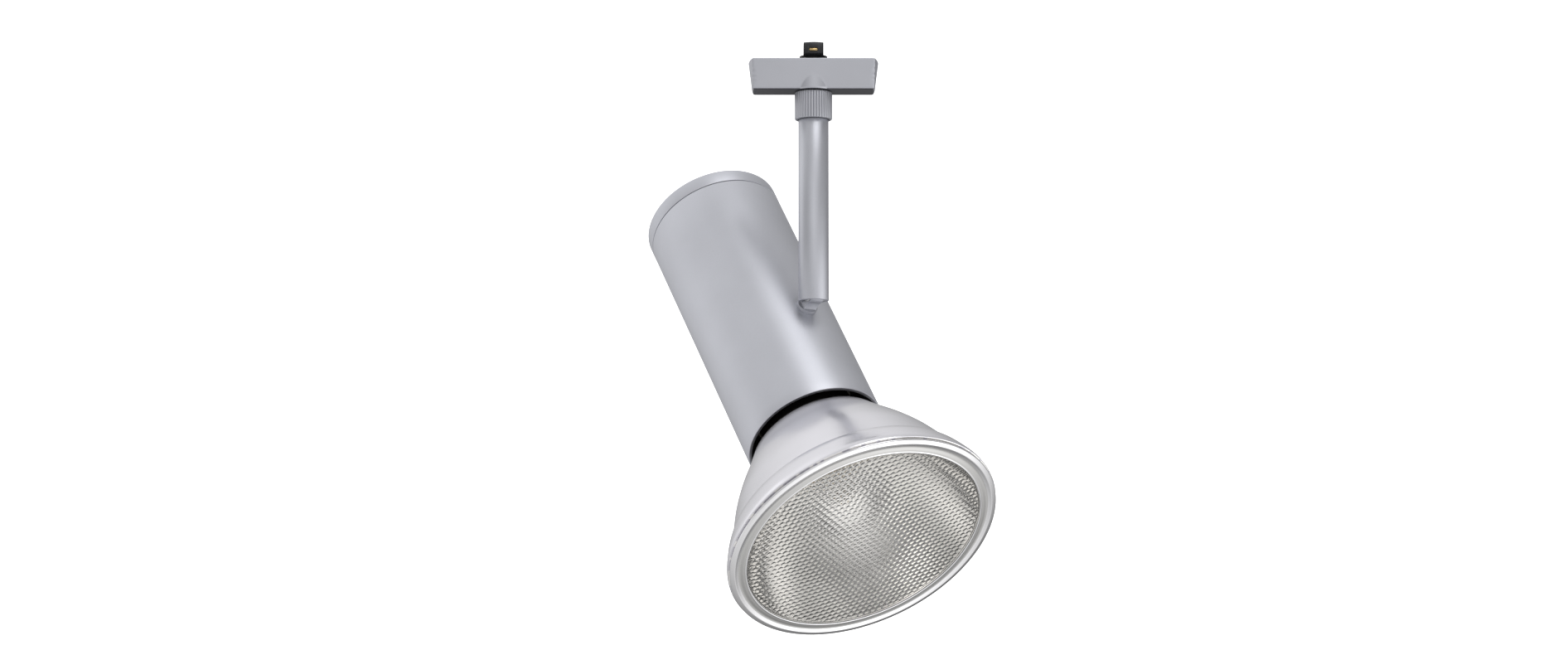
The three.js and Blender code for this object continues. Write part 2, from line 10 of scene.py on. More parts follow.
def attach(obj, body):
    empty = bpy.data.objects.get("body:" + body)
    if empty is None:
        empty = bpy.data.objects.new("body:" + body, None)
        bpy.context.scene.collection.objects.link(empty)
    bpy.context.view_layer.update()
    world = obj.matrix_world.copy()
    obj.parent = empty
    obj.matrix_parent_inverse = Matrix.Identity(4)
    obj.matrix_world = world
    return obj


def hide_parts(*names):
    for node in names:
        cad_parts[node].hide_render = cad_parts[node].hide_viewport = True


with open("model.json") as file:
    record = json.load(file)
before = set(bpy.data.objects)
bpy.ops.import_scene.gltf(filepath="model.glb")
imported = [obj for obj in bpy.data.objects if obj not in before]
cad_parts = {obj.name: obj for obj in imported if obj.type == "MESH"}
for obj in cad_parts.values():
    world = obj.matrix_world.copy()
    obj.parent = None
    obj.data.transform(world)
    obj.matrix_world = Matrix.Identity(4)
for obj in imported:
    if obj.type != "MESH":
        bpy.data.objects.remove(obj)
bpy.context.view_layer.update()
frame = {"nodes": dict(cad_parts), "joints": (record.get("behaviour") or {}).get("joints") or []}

MM = 0.001

# ------------------------------------------------------------------ frames
joints = {j["name"]: j for j in frame["joints"]}
along = Vector(joints["lamp_withdraw"]["axis"]).normalized()
side = Vector(joints["tilt"]["axis"]).normalized()
out = side.cross(along).normalized()
pivot = Vector(joints["tilt"]["pos_m"])
PIVOT_OFFSET = 30.78 * MM
foot = pivot - out * PIVOT_OFFSET
# Columns: away from the tube towards the pivot, the pivot's axis, along the tube to the lamp.
HEAD = Matrix((
    (out.x, side.x, along.x, foot.x),
    (out.y, side.y, along.y, foot.y),
    (out.z, side.z, along.z, foot.z),
    (0, 0, 0, 1),
))


# ------------------------------------------------------------------ meshes
def link(name, mesh, body, matrix=None, smooth_angle=35.0):
    """A finished piece in the scene, riding on its CAD body."""
    obj = bpy.data.objects.new(name, mesh)
    bpy.context.scene.collection.objects.link(obj)
    if matrix is not None:
        mesh.transform(matrix)
    mesh.update()
    set_smooth(obj, smooth_angle)
    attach(obj, body)
    return obj


def set_smooth(obj, angle):
    """Smooth shading with sharp edges kept above an angle."""
    mesh = obj.data
    mesh.shade_smooth()
    bm = bmesh.new()
    bm.from_mesh(mesh)
    limit = math.radians(angle)
    for edge in bm.edges:
        if len(edge.link_faces) == 2:
            edge.smooth = edge.calc_face_angle(0.0) < limit
    bm.to_mesh(mesh)
    bm.free()


def mesh_from(name, verts, faces):
    """A mesh with doubled corners merged and its normals outward."""
    mesh = bpy.data.meshes.new(name)
    mesh.from_pydata([tuple(v) for v in verts], [], faces)
    bm = bmesh.new()
    bm.from_mesh(mesh)
    bmesh.ops.remove_doubles(bm, verts=bm.verts, dist=2e-7)
    bmesh.ops.recalc_face_normals(bm, faces=bm.faces)
    bm.to_mesh(mesh)
    bm.free()
    return mesh


def lathe(name, profile, segments):
    """Solid of revolution about Z from (radius, z) in mm. The outline ends on the axis or closes."""
    on_axis = profile[0][0] == 0 and profile[-1][0] == 0
    verts, faces, rows = [], [], []
    for r, z in profile:
        if r == 0:
            rows.append([len(verts)] * segments)
            verts.append((0, 0, z * MM))
            continue
        start = len(verts)
        for i in range(segments):
            a = 2 * math.pi * i / segments
            verts.append((r * MM * math.cos(a), r * MM * math.sin(a), z * MM))
        rows.append(list(range(start, start + segments)))
    count = len(rows) if not on_axis else len(rows) - 1
    for k in range(count):
        a, b = rows[k], rows[(k + 1) % len(rows)]
        for i in range(segments):
            j = (i + 1) % segments
            quad = []
            for v in (a[i], a[j], b[j], b[i]):
                if v not in quad:
                    quad.append(v)
            if len(quad) > 2:
                faces.append(quad)
    return mesh_from(name, verts, faces)


def smooth_line(points, per_span=6):
    """Catmull-Rom through the points."""
    padded = [points[0], *points, points[-1]]
    line = []
    for i in range(1, len(padded) - 2):
        p0, p1, p2, p3 = padded[i - 1:i + 3]
        for k in range(per_span):
            t = k / per_span
            line.append(tuple(
                0.5 * (2 * p1[c] + (p2[c] - p0[c]) * t
                       + (2 * p0[c] - 5 * p1[c] + 4 * p2[c] - p3[c]) * t ** 2
                       + (3 * p1[c] - p0[c] - 3 * p2[c] + p3[c]) * t ** 3)
                for c in (0, 1)))
    line.append(tuple(points[-1]))
    return line


def arc(cx, cz, r, start, end, steps=6):
    """Points of a rounded edge, angles in degrees."""
    points = []
    for i in range(steps + 1):
        a = math.radians(start + (end - start) * i / steps)
        points.append((cx + r * math.cos(a), cz + r * math.sin(a)))
    return points


# ------------------------------------------------------------------ materials
class Nodes:
    """Short names for building one material's node tree."""

    def __init__(self, name):
        self.material = bpy.data.materials.new(name)
        self.material.use_nodes = True
        self.tree = self.material.node_tree
        self.shader = self.tree.nodes["Principled BSDF"]
        self.coords = self.tree.nodes.new("ShaderNodeTexCoord")

    def set(self, **values):
        """Uniform values, straight on the shader's own sockets."""
        for key, value in values.items():
            self.shader.inputs[key.replace("_", " ")].default_value = value
        return self

    def link(self, a, b):
        self.tree.links.new(a, b)

    def mapped(self, scale):
        """Object coordinates stretched by a scale for each axis."""
        node = self.tree.nodes.new("ShaderNodeMapping")
        node.inputs["Scale"].default_value = scale
        self.link(self.coords.outputs["Object"], node.inputs["Vector"])
        return node.outputs["Vector"]

    def noise(self, scale, detail=3.0, vector=None):
        """Cloudy variation, with scale in cells for each metre."""
        node = self.tree.nodes.new("ShaderNodeTexNoise")
        node.inputs["Scale"].default_value = scale
        node.inputs["Detail"].default_value = detail
        self.link(vector or self.coords.outputs["Object"], node.inputs["Vector"])
        return node.outputs["Fac"]

    def ramp(self, source, stops):
        """Colours picked by a value: stops are (position, colour)."""
        node = self.tree.nodes.new("ShaderNodeValToRGB")
        ramp = node.color_ramp
        ramp.elements[0].position, ramp.elements[0].color = stops[0]
        ramp.elements[1].position, ramp.elements[1].color = stops[-1]
        for position, color in stops[1:-1]:
            ramp.elements.new(position).color = color
        self.link(source, node.inputs["Fac"])
        return node.outputs["Color"]

    def spread(self, source, low, high):
        """A value from 0 to 1 mapped to the range from low to high."""
        node = self.tree.nodes.new("ShaderNodeMapRange")
        node.inputs["To Min"].default_value = low
        node.inputs["To Max"].default_value = high
        self.link(source, node.inputs["Value"])
        return node.outputs["Result"]

    def bump(self, height, strength, distance):
        """Relief in the shading, with the distance in metres."""
        node = self.tree.nodes.new("ShaderNodeBump")
        node.inputs["Strength"].default_value = strength
        node.inputs["Distance"].default_value = distance
        self.link(height, node.inputs["Height"])
        self.link(node.outputs["Normal"], self.shader.inputs["Normal"])


def grey(value, tint=(1.0, 1.0, 1.0)):
    """An opaque grey of a brightness, with a tint."""
    return (value * tint[0], value * tint[1], value * tint[2], 1.0)


COOL = (0.962, 0.977, 1.053)       # the lacquer's slight blue
FLAKE_SHARE = 0.35                 # how much the flake counts beside the cloudiness


def satin_paint(name, level, rough, metallic, grain=2600.0):
    """Metallic lacquer: fine flake, a trace of orange peel, faint cloudiness."""
    n = Nodes(name)
    n.set(Metallic=metallic)
    flake = n.noise(grain, 2.0)
    cloud = n.noise(38.0, 3.0)
    mix = n.tree.nodes.new("ShaderNodeMath")
    mix.operation = "MULTIPLY_ADD"
    mix.inputs[1].default_value = FLAKE_SHARE
    n.link(flake, mix.inputs[0])
    n.link(cloud, mix.inputs[2])
    dark, light = grey(level * 0.94, COOL), grey(level * 1.05, COOL)
    n.link(n.ramp(mix.outputs[0], [(0.35, dark), (0.95, light)]), n.shader.inputs["Base Color"])
    n.link(n.spread(cloud, rough - 0.03, rough + 0.03), n.shader.inputs["Roughness"])
    n.bump(n.noise(420.0, 2.0), 0.06, 0.02 * MM)
    return n.material


def machined(name, color, rough):
    """Bare metal with turning marks."""
    n = Nodes(name)
    n.set(Metallic=1.0)
    marks = n.noise(1.0, 4.0, n.mapped((60, 60, 3000)))
    low = tuple(c * 0.88 for c in color[:3]) + (1.0,)
    n.link(n.ramp(marks, [(0.3, low), (0.7, color)]), n.shader.inputs["Base Color"])
    n.link(n.spread(marks, rough - 0.06, rough + 0.08), n.shader.inputs["Roughness"])
    n.bump(marks, 0.12, 0.03 * MM)
    return n.material


def moulded(name, color, rough, grain=900.0, vary=0.15):
    """Plastic, rubber or ceramic with a fine moulded grain."""
    n = Nodes(name)
    grains = n.noise(grain, 4.0)
    low = tuple(c * (1 - vary) for c in color[:3]) + (1.0,)
    high = tuple(min(c * (1 + vary), 1.0) for c in color[:3]) + (1.0,)
    n.link(n.ramp(grains, [(0.3, low), (0.7, high)]), n.shader.inputs["Base Color"])
    n.link(n.spread(grains, rough - 0.06, rough + 0.06), n.shader.inputs["Roughness"])
    n.bump(grains, 0.15, 0.04 * MM)
    return n.material


def aluminised(name, level, rough, tint):
    """Silvered glass: bright, faintly clouded."""
    n = Nodes(name)
    n.set(Metallic=1.0)
    cloud = n.noise(60.0, 3.0)
    dull, bright = grey(level * 0.96, tint), grey(level, tint)
    n.link(n.ramp(cloud, [(0.3, dull), (0.7, bright)]), n.shader.inputs["Base Color"])
    n.link(n.spread(cloud, rough - 0.03, rough + 0.03), n.shader.inputs["Roughness"])
    n.bump(n.noise(300.0, 2.0), 0.04, 0.03 * MM)
    return n.material


def glass(name, tint, rough, ior=1.47):
    """Clear glass, faintly uneven."""
    n = Nodes(name)
    n.set(Transmission_Weight=1.0, IOR=ior, Metallic=0.0)
    cloud = n.noise(90.0, 2.0)
    low = tuple(c * 0.985 for c in tint[:3]) + (1.0,)
    n.link(n.ramp(cloud, [(0.3, low), (0.7, tint)]), n.shader.inputs["Base Color"])
    n.link(n.spread(cloud, max(rough - 0.01, 0.0), rough + 0.01), n.shader.inputs["Roughness"])
    return n.material


SILVER = satin_paint("silver_lacquer", 0.61, 0.44, 0.88)
SILVER_MOULD = satin_paint("silver_moulding", 0.54, 0.48, 0.80, grain=3200.0)
BOWL_SILVER = aluminised("bowl_silvering", 0.74, 0.24, (0.99, 0.98, 1.03))
MIRROR_INSIDE = aluminised("mirror_inside", 0.99, 0.08, (1.0, 0.988, 0.965))
LENS_GLASS = glass("pressed_glass", (0.997, 0.993, 0.987, 1.0), 0.045)
FLANGE_GLASS = aluminised("pressed_flange", 0.57, 0.38, (1.0, 0.992, 0.975))
RIM_GLASS = aluminised("fused_rim", 0.86, 0.16, (1.0, 0.995, 1.01))
# Painted shade: near black for the bowl's neck, which lies in shade inside the tube's mouth.
NECK_PAINTED_SHADE = moulded("neck_painted_shade", (0.012, 0.010, 0.009, 1.0), 0.5)
QUARTZ = glass("quartz", (0.98, 0.98, 0.98, 1.0), 0.01, 1.46)
STEEL = machined("zinc_plated_steel", (0.62, 0.62, 0.63, 1.0), 0.32)
BRASS = machined("brass", (0.72, 0.52, 0.24, 1.0), 0.28)
BLACK = moulded("black_moulding", (0.014, 0.014, 0.016, 1.0), 0.5)
# Painted shade: dark grey for the housing's downward faces, which lie in shade.
UNDERSIDE_PAINTED_SHADE = moulded("underside", (0.050, 0.050, 0.058, 1.0), 0.45)
MATT_BLACK = moulded("matt_black", (0.006, 0.006, 0.007, 1.0), 0.8)
GREY = moulded("grey_moulding", (0.16, 0.16, 0.17, 1.0), 0.5)
CERAMIC = moulded("ceramic", (0.74, 0.70, 0.62, 1.0), 0.45, 500.0, 0.05)
BROWN = moulded("brown_sleeve", (0.12, 0.055, 0.025, 1.0), 0.45)
BLUE = moulded("blue_sleeve", (0.03, 0.11, 0.33, 1.0), 0.45)
GREEN = moulded("green_sleeve", (0.14, 0.30, 0.04, 1.0), 0.45)


def dress(obj, material):
    """One material over the whole piece."""
    obj.data.materials.clear()
    obj.data.materials.append(material)
    return obj


# ------------------------------------------------------------------ head
# In mm, in the head's own frame.
TUBE_R, TUBE_BORE = 24.66, 23.46
MOUTH, BACK = 40.26, -65.6
CAP_R, CAP_BACK, CAP_FRONT = 24.7, -71.41, -65.85
CAP_WALL = 1.6
SPIGOT_END, SPIGOT_BORE = -60.2, 22.2
SEGMENTS = 224


def head_tube():
    """Straight tube with softened edges at both ends."""
    profile = (
        arc(TUBE_R - 0.25, MOUTH - 0.25, 0.25, 0, 90, 5)
        + arc(TUBE_BORE + 0.15, MOUTH - 0.15, 0.15, 90, 180, 4)
        + [(TUBE_BORE, z) for z in (30, 10, -20, -50)]
        + [(TUBE_BORE, BACK)]
        + arc(TUBE_R - 0.18, BACK + 0.18, 0.18, -90, 0, 4)
        + [(TUBE_R, z) for z in (-50, -30, -10, 10, 25, 36)]
    )
    obj = link("head_tube_shell", lathe("head_tube_shell", profile, SEGMENTS), "head", HEAD)
    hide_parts("head_tube")
    return dress(obj, SILVER)


def rear_cap():
    """Hollow cap with a spigot inside the tube; the seam is the gap between cap and tube."""
    spigot = TUBE_BORE - 0.06
    profile = (
        [(0, CAP_BACK), (10, CAP_BACK), (20, CAP_BACK)]
        + arc(CAP_R - 0.8, CAP_BACK + 0.8, 0.8, -90, 0, 8)
        + arc(CAP_R - 0.18, CAP_FRONT - 0.18, 0.18, 0, 90, 4)
        + [(spigot, CAP_FRONT), (spigot, SPIGOT_END - 0.4), (spigot - 0.35, SPIGOT_END)]
        + [(SPIGOT_BORE, SPIGOT_END), (SPIGOT_BORE, CAP_BACK + CAP_WALL), (0, CAP_BACK + CAP_WALL)]
    )
    obj = link("rear_cap_shell", lathe("rear_cap_shell", profile, SEGMENTS), "head", HEAD)
    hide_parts("rear_cap")
    return dress(obj, SILVER)


# ------------------------------------------------------------------ lamp
RIM_R = 48.5
NECK_R = 24.4            # the neck is coloured near black inside this radius, as painted shade
BOWL_CURVE = [
    (24.5, 44.1), (28.3, 50.0), (33.5, 57.4), (38.0, 65.0), (41.6, 72.8), (43.7, 77.6),
]
LEDGE = [(43.85, 77.9), (44.0, 77.98), (44.45, 78.0)]
BAND_CURVE = [(44.6, 78.12), (45.85, 80.1), (47.25, 83.1), (48.2, 85.4), (RIM_R, 86.8)]


def off_axis(point):
    """From the head's axis out to the point."""
    step = point - HEAD.translation
    return step - along * step.dot(along)


def distance_out(point):
    """How far the point is from the head's axis."""
    return off_axis(point).length


def bowl():
    """The pressed-glass bowl: its outside is one skin, its mirrored inside another face region, its neck a
    near-black painted shade.
    """
    outside = (
        [(12.5, 21.0), (12.5, 27.5)]
        + smooth_line([(16.6, 27.5), (17.6, 34.5), (19.4, 39.2), (22.4, 42.5)], 5)[:-1]
        + [(22.4, 42.5), (23.7, 43.4)]
        + smooth_line(BOWL_CURVE, 7)
        + LEDGE
        + smooth_line(BAND_CURVE, 5)
        + [(RIM_R, 87.1), (48.35, 87.2)]
    )
    inside = smooth_line(
        [(46.2, 87.2), (40.6, 74.6), (34.8, 63.8), (26.6, 51.4), (20.2, 43.6), (16.0, 38.6), (14.5, 31.5)],
        6,
    ) + [(10.5, 28.5), (10.5, 21.0)]
    obj = link("bowl_shell", lathe("bowl_shell", outside + inside, SEGMENTS), "lamp", HEAD)
    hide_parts("reflector_bowl")
    dress(obj, BOWL_SILVER)
    obj.data.materials.append(MIRROR_INSIDE)
    obj.data.materials.append(NECK_PAINTED_SHADE)
    # Faces turned to the axis get the mirror; the neck's outside inside NECK_R gets painted shade,
    # coloured near black.
    for face in obj.data.polygons:
        radial = off_axis(face.center)
        if face.normal.dot(radial) < 0:
            face.material_index = 1
        elif radial.length < NECK_R * MM:
            face.material_index = 2
    return obj


# In mm, in the head's own frame.
LENS_PITCH = 2.22
LENS_FIELD = 42.0        # radius of the lenslet field
LENS_BACK, LENS_TOP = 86.9, 90.05
CAP_CURVE = 2.6          # radius of a lenslet
FIELD_EDGE = 0.1         # the relief stops this far inside the field's edge
FIELD_FADE = 0.4
FLANGE_FROM, RIM_FROM = 42.85, 45.6
BEAD_FROM, BEAD_TO, BEAD_HEIGHT = 42.27, 42.78, 0.12
FRONT_FROM = 88.0        # faces above this height belong to the lens's front
ROW_HEIGHT = math.sqrt(3) / 2


def front_height(r):
    """Height of the lens's gently domed front, in mm."""
    return LENS_TOP - 1.35 * (r / 43.4) ** 2


def relief(x, y):
    """Height of the lenslet field, in mm, away from the front."""
    q = (y / ROW_HEIGHT) / LENS_PITCH
    p = x / LENS_PITCH - q / 2
    nearest = 9.0
    for dp in (0, 1):
        for dq in (0, 1):
            cp, cq = math.floor(p) + dp, math.floor(q) + dq
            dx = x - (cp + cq * 0.5) * LENS_PITCH
            dy = y - cq * LENS_PITCH * ROW_HEIGHT
            nearest = min(nearest, dx * dx + dy * dy)
    edge = math.sqrt(CAP_CURVE ** 2 - (LENS_PITCH / math.sqrt(3)) ** 2)
    cap = math.sqrt(max(CAP_CURVE ** 2 - nearest, 0.0)) - edge
    fade = min(max((LENS_FIELD - FIELD_EDGE - math.hypot(x, y)) / FIELD_FADE, 0.0), 1.0)
    return cap * fade


def lenslet_grid():
    """Triangle grid over the round field, six steps for each lenslet, pulled in to its edge."""
    step = LENS_PITCH / 6
    rows = int(LENS_FIELD / (step * ROW_HEIGHT)) + 2
    points, index = [], {}
    for j in range(-rows, rows + 1):
        for i in range(-2 * rows, 2 * rows + 1):
            x = (i + j * 0.5) * step
            y = j * step * ROW_HEIGHT
            r = math.hypot(x, y)
            if r > LENS_FIELD + step:
                continue
            if r > LENS_FIELD - 0.35 * step:
                x, y = x / r * LENS_FIELD, y / r * LENS_FIELD
            index[(i, j)] = len(points)
            points.append((x, y))
    faces = []
    for (i, j), a in index.items():
        b, c, d = index.get((i + 1, j)), index.get((i, j + 1)), index.get((i - 1, j + 1))
        if b is not None and c is not None:
            faces.append((a, b, c))
        if c is not None and d is not None:
            faces.append((a, c, d))
    return points, faces


def lens_section():
    """Outline from the field's edge round the rim to the middle of the front, as (radius, z) in mm."""
    return (
        [(42.15, 86.55), (42.4, 86.4), (42.65, 86.55), (42.8, 86.95)]
        + [(43.7, 86.95), (43.8, 87.4), (43.9, 87.75), (47.9, 87.75)]
        + arc(47.75, 88.15, 0.4, -60, 60, 6)
        + arc(46.5, 88.0, 0.75, 60, 120, 6)
        + [(45.2, 88.32), (44.7, 88.28), (44.2, 88.36), (43.8, 88.6)]
        + [(r, front_height(r)) for r in (43.2, 42.8)]
        + [(r, front_height(r) + BEAD_HEIGHT) for r in (42.65, 42.4)]
        + [(r, front_height(r)) for r in (42.25, 41, 38, 34, 29, 23, 16, 9, 3)]
    )


def lens_mesh():
    """The relief behind, then rings out round the rim and in over the front to its tip."""
    points, faces = lenslet_grid()
    bm = bmesh.new()
    back = [bm.verts.new((x * MM, y * MM, (LENS_BACK - relief(x, y)) * MM)) for x, y in points]
    for f in faces:
        try:
            bm.faces.new([back[k] for k in f])
        except ValueError:
            pass
    bmesh.ops.remove_doubles(bm, verts=bm.verts, dist=4e-6)
    bmesh.ops.dissolve_degenerate(bm, dist=4e-6, edges=bm.edges)
    ring = {}
    for e in bm.edges:
        if len(e.link_faces) == 1:
            for v in e.verts:
                ring[v] = math.atan2(v.co.y, v.co.x)
    loop = sorted(ring, key=lambda v: ring[v])
    turns = [ring[v] for v in loop]
    previous = loop
    for r, z in lens_section():
        current = [bm.verts.new((r * MM * math.cos(a), r * MM * math.sin(a), z * MM)) for a in turns]
        for k in range(len(loop)):
            m = (k + 1) % len(loop)
            bm.faces.new((previous[k], previous[m], current[m], current[k]))
        previous = current
    tip = bm.verts.new((0, 0, LENS_TOP * MM))
    for k in range(len(loop)):
        bm.faces.new((previous[k], previous[(k + 1) % len(loop)], tip))
    bmesh.ops.recalc_face_normals(bm, faces=bm.faces)
    mesh = bpy.data.meshes.new("lens_glass")
    bm.to_mesh(mesh)
    bm.free()
    return mesh


def lens():
    """Pressed lens: slightly domed in front with a fine bead, close-packed lenslets behind."""
    # One lattice direction of the lenslets lies along the head frame's first axis.
    obj = link("lens_glass", lens_mesh(), "lamp", HEAD, 180.0)
    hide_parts("front_lens")
    dress(obj, LENS_GLASS)
    obj.data.materials.append(FLANGE_GLASS)
    obj.data.materials.append(RIM_GLASS)
    for face in obj.data.polygons:
        r = distance_out(face.center) / MM
        in_front = (face.center - HEAD.translation).dot(along) / MM > FRONT_FROM
        on_bead = in_front and BEAD_FROM < r < BEAD_TO
        if r > RIM_FROM or on_bead:
            face.material_index = 2
        elif r > FLANGE_FROM or (in_front and r > BEAD_TO):
            face.material_index = 1
    return obj


# ------------------------------------------------------------------ adapter
# In mm. The adapter's frame is the part's own: Z up, zero at the rail seat.
RING_R, RING_TOP, RING_BOTTOM = 6.6, -10.7, -20.3
RING_BORE, RING_THROAT, THROAT_Z = 5.6, 4.65, -16.9
KNURLS, KNURL_DEPTH = 40, 0.40


def knurled_ring():
    """Straight knurls with rounded crests and narrow valleys, between two chamfers."""
    per = 12
    count = KNURLS * per
    rings = [
        (RING_BOTTOM, 0.30), (RING_BOTTOM + 0.06, 0.16), (RING_BOTTOM + 0.30, 0.0),
        (RING_TOP - 0.30, 0.0), (RING_TOP - 0.06, 0.16), (RING_TOP, 0.30),
    ]
    verts, faces = [], []
    for z, inset in rings:
        for i in range(count):
            a = 2 * math.pi * i / count
            phase = (i % per) / per
            crest = abs(math.sin(math.pi * phase)) ** 0.45
            r = min(RING_R - KNURL_DEPTH * (1 - crest), RING_R - inset)
            verts.append((r * MM * math.cos(a), r * MM * math.sin(a), z * MM))
    inner = [
        (RING_BORE, RING_BOTTOM), (RING_BORE, THROAT_Z), (RING_THROAT, THROAT_Z), (RING_THROAT, RING_TOP),
    ]
    for r, z in inner:
        for i in range(count):
            a = 2 * math.pi * i / count
            verts.append((r * MM * math.cos(a), r * MM * math.sin(a), z * MM))
    order = [0, 1, 2, 3, 4, 5, 9, 8, 7, 6]
    for k in range(len(order)):
        a, b = order[k] * count, order[(k + 1) % len(order)] * count
        for i in range(count):
            j = (i + 1) % count
            faces.append((a + i, a + j, b + j, b + i))
    obj = link("lock_ring_knurled", mesh_from("lock_ring_knurled", verts, faces), "lock", None, 50.0)
    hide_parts("lock_ring")
    return dress(obj, SILVER_MOULD)


TOP = (22.85, 21.5, 9.5)      # half length at mid width, at the long face, half width
BOTTOM = (21.55, 21.3, 5.9)
HEIGHT = 10.4
SHELL, FLOOR = 1.6, 1.6       # thickness of the sides and of the underside
BORE_R = 4.9                  # hole for the rotor
BOSS_R, BOSS_HEIGHT = 7.6, 5.1
EDGE = 0.8                    # radius along the underside's edge
CORNER_SHARPNESS = 4.0


def plan_radius(angle, z, inset):
    """Distance from the axis to the housing's side at a height, with the round boss blended in."""
    k = -z / HEIGHT
    mid, face, depth = (t + (b - t) * k for t, b in zip(TOP, BOTTOM))
    mid, face, depth = mid - inset, face - inset, depth - inset
    c, s = abs(math.cos(angle)), abs(math.sin(angle))
    to_side = depth / s if s > 1e-6 else 1e9
    low, high = 0.0, 60.0
    for _ in range(40):
        r = (low + high) / 2
        y = min(r * s / depth, 1.0)
        if r * c > face + (mid - face) * (1 - y * y):
            high = r
        else:
            low = r
    to_end = high
    rounding = math.log(1.0 + math.exp(-abs(to_side - to_end) * CORNER_SHARPNESS)) / CORNER_SHARPNESS
    body = min(to_side, to_end) - rounding
    boss = BOSS_R - inset if z < BOSS_HEIGHT - HEIGHT else 0.0
    return max(body, boss)


def housing_angles():
    """Even steps all round, with more of them at the top and bottom corners."""
    angles = [math.pi / 128 * i for i in range(256)]
    top_corner = math.atan2(TOP[2], TOP[1])
    low_corner = math.atan2(BOTTOM[2], BOTTOM[1])
    for corner in (top_corner, low_corner):
        for base in (corner, math.pi - corner, math.pi + corner, 2 * math.pi - corner):
            for d in (0.006, 0.012, 0.02, 0.03):
                angles += [base - d, base + d]
            angles.append(base)
    return sorted(set(angles))


def housing_levels():
    """Heights down the outside with how far each is drawn in: rounded rim, side, rounded edge."""
    levels = [(0.0, 0.42), (-0.06, 0.24), (-0.2, 0.09), (-0.42, 0.0)]
    z = -0.9
    while z > -9.4:
        levels.append((z, 0.0))
        z -= 0.35
    for i in range(7):
        a = math.pi / 2 * i / 6
        levels.append((EDGE - HEIGHT - EDGE * math.sin(a), EDGE * (1 - math.cos(a))))
    return levels


def housing():
    """Trough-shaped shell, open at the top, with rounded rim and underside; the underside is coloured dark
    as painted shade.
    """
    angles = housing_angles()
    inside_floor = FLOOR - HEIGHT
    rings = [(z, [plan_radius(a, z, inset) for a in angles]) for z, inset in housing_levels()]
    rings += [(z, [BORE_R] * len(angles)) for z in (-HEIGHT, inside_floor)]
    for z in (inside_floor, -4.0, 0.0):
        rings.append((z, [max(plan_radius(a, z, SHELL), BORE_R + 0.05) for a in angles]))
    verts, faces = [], []
    for z, radii in rings:
        for a, r in zip(angles, radii):
            verts.append((r * MM * math.cos(a), r * MM * math.sin(a), z * MM))
    n = len(angles)
    for k in range(len(rings)):
        a, b = k * n, (k + 1) % len(rings) * n
        for i in range(n):
            j = (i + 1) % n
            faces.append((a + i, a + j, b + j, b + i))
    obj = link("housing_shell", mesh_from("housing_shell", verts, faces), "adapter", None, 40.0)
    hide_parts("adapter_housing")
    dress(obj, SILVER_MOULD)
    obj.data.materials.append(UNDERSIDE_PAINTED_SHADE)
    # Painted shade: faces turned downward take the dark underside colour.
    for face in obj.data.polygons:
        if face.normal.z < -0.85:
            face.material_index = 1
    return obj


# ------------------------------------------------------------------ carried-over CAD nodes
FINISH = {
    "stem_tube": SILVER, "lug": SILVER_MOULD, "adapter_lid": GREY, "lock_rotor": STEEL,
    "rotor_head": BLACK, "contact_live": BRASS, "contact_neutral": BRASS, "contact_earth": BRASS,
    "stem_insert": BRASS, "thrust_washer": BLACK, "stem_cable": GREY, "lampholder": CERAMIC,
    "terminal_live": BRASS, "terminal_neutral": BRASS, "terminal_screw_live": BRASS,
    "terminal_screw_neutral": BRASS, "thread_shell": BRASS, "centre_contact": BRASS,
    "side_contact": BRASS, "mouth_liner": MATT_BLACK, "earth_screw": BRASS, "wire_live": BROWN,
    "wire_neutral": BLUE, "wire_earth": GREEN, "rim_seal": BOWL_SILVER, "screw_base": BRASS,
    "base_insulator": BLACK, "base_button": BRASS, "capsule": QUARTZ,
}


BEVELS = {"lug": 0.25}


def dress_nodes():
    """CAD nodes keep their mesh: modifiers weld doubled corners and break the edges listed above."""
    for name, obj in frame["nodes"].items():
        dress(obj, FINISH.get(name, STEEL))
        obj.data.shade_smooth()
        weld = obj.modifiers.new("weld", "WELD")
        weld.merge_threshold = 1e-6
        if name in BEVELS:
            bevel = obj.modifiers.new("edge", "BEVEL")
            bevel.width = BEVELS[name] * MM
            bevel.segments = 3
            bevel.limit_method = "ANGLE"
            bevel.angle_limit = math.radians(40)


head_tube()
rear_cap()
bowl()
lens()
knurled_ring()
housing()
dress_nodes()


# ------------------------------------------------------------------ stage, light and camera
def pale(name, level, glow):
    """Matt, faintly uneven studio paint with a glow of its own."""
    n = Nodes(name)
    cloud = n.noise(0.7, 2.0)
    n.link(n.ramp(cloud, [(0.3, grey(level * 0.99)), (0.7, grey(level))]), n.shader.inputs["Base Color"])
    n.set(Roughness=0.9, Emission_Color=(1, 1, 1, 1), Emission_Strength=glow)
    return n.material


FLOOR_Z = -1.35
DOME_R = 7.0


def floor():
    """A round floor, far enough below to leave the object's light alone."""
    mesh = bpy.data.meshes.new("floor")
    bm = bmesh.new()
    bmesh.ops.create_circle(bm, cap_ends=True, radius=DOME_R * 0.97, segments=96)
    bm.to_mesh(mesh)
    bm.free()
    obj = bpy.data.objects.new("floor", mesh)
    obj.location.z = FLOOR_Z
    return obj


def dome():
    """The backdrop all round."""
    mesh = bpy.data.meshes.new("backdrop")
    bm = bmesh.new()
    bmesh.ops.create_uvsphere(bm, u_segments=48, v_segments=24, radius=DOME_R)
    bm.to_mesh(mesh)
    bm.free()
    mesh.shade_smooth()
    return bpy.data.objects.new("backdrop", mesh)


